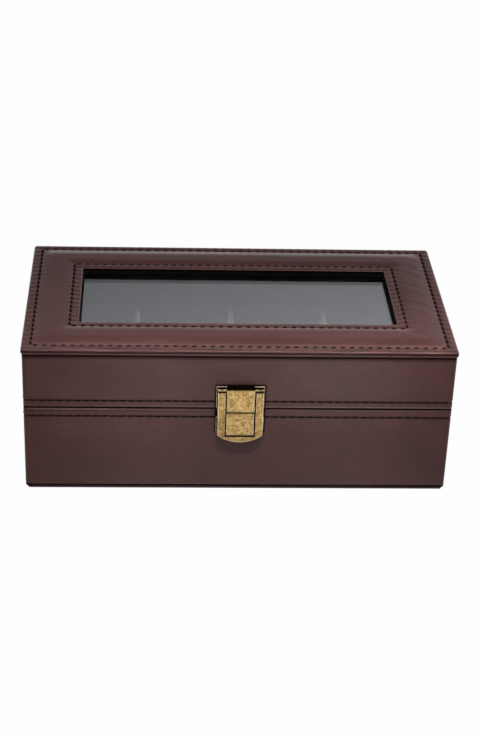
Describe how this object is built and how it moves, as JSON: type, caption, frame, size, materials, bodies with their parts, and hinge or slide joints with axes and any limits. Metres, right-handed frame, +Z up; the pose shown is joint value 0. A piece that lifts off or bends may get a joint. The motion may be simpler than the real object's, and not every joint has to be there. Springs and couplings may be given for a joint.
{
  "type": "watch valet",
  "caption": "Leatherette watch box with a hinged lid, a glass window in a padded stitched frame, a brass hasp, divided slots and lift-out pillows.",
  "frame": {"origin": "middle of the underside, on the table", "axes": "+X right, +Y to the hinged back, +Z up"},
  "size_m": [0.215, 0.1259, 0.0823],
  "materials": {
    "leatherette": "satin, fine grain",
    "board": "raw fibreboard",
    "lining": "dark brown velour",
    "divider_suede": "beige velour",
    "pillow_suede": "beige velour",
    "antique_brass": "antique, speckled",
    "glass": "clear",
    "seal": "matt black",
    "foam": "open-cell foam",
    "spring_steel": "bright strip"
  },
  "bodies": {
    "base": {"underside_panel": "leatherette", "base_bottom_board": "board", "base_front_board": "board", "base_back_board": "board", "base_left_board": "board", "base_right_board": "board", "base_wrap": "leatherette", "floor_lining": "lining", "base_lining_front": "lining", "base_lining_back": "lining", "base_lining_left": "lining", "base_lining_right": "lining", "divider_left": "divider_suede", "divider_middle": "divider_suede", "divider_right": "divider_suede", "clasp_catch": "antique_brass", "catch_spring": "spring_steel", "clasp_base_rivets": "antique_brass", "hinge_left_base_leaf": "antique_brass", "hinge_right_base_leaf": "antique_brass", "hinge_left_pin": "antique_brass", "hinge_right_pin": "antique_brass", "hinge_base_screws": "antique_brass"},
    "lid": {"lid_front_board": "board", "lid_back_board": "board", "lid_left_board": "board", "lid_right_board": "board", "lid_wrap": "leatherette", "lid_top_board": "board", "top_foam": "foam", "top_cover": "leatherette", "window_seal": "seal", "window_pane": "glass", "pane_retainer": "board", "lid_ceiling_lining": "lining", "lid_lining_front": "lining", "lid_lining_back": "lining", "lid_lining_left": "lining", "lid_lining_right": "lining", "clasp_hinge_plate": "antique_brass", "clasp_pin": "antique_brass", "clasp_lid_rivets": "antique_brass", "hinge_left_lid_leaf": "antique_brass", "hinge_right_lid_leaf": "antique_brass", "hinge_lid_screws": "antique_brass"},
    "hasp": {"clasp_flap": "antique_brass"},
    "watch_pillow_1": {"pillow_1": "pillow_suede"},
    "watch_pillow_2": {"pillow_2": "pillow_suede"},
    "watch_pillow_3": {"pillow_3": "pillow_suede"},
    "watch_pillow_4": {"pillow_4": "pillow_suede"}
  },
  "joints": [
    {"name": "lid_hinge", "type": "hinge", "parent": "base", "child": "lid", "pos_m": [0, 0.0603, 0.04805], "axis": [-1, 0, 0], "range_deg": [0, 100], "deforming": ["catch_spring"]},
    {"name": "clasp_swing", "type": "hinge", "parent": "lid", "child": "hasp", "pos_m": [0.0005, -0.0606, 0.0598], "axis": [-1, 0, 0], "range_deg": [0, 95], "deforming": ["catch_spring"]},
    {"name": "pillow_lift_1", "type": "slide", "parent": "base", "child": "watch_pillow_1", "axis": [0, 0, 1], "range_m": [0, 0.025]},
    {"name": "pillow_lift_2", "type": "slide", "parent": "base", "child": "watch_pillow_2", "axis": [0, 0, 1], "range_m": [0, 0.025]},
    {"name": "pillow_lift_3", "type": "slide", "parent": "base", "child": "watch_pillow_3", "axis": [0, 0, 1], "range_m": [0, 0.025]},
    {"name": "pillow_lift_4", "type": "slide", "parent": "base", "child": "watch_pillow_4", "axis": [0, 0, 1], "range_m": [0, 0.025]}
  ]
}
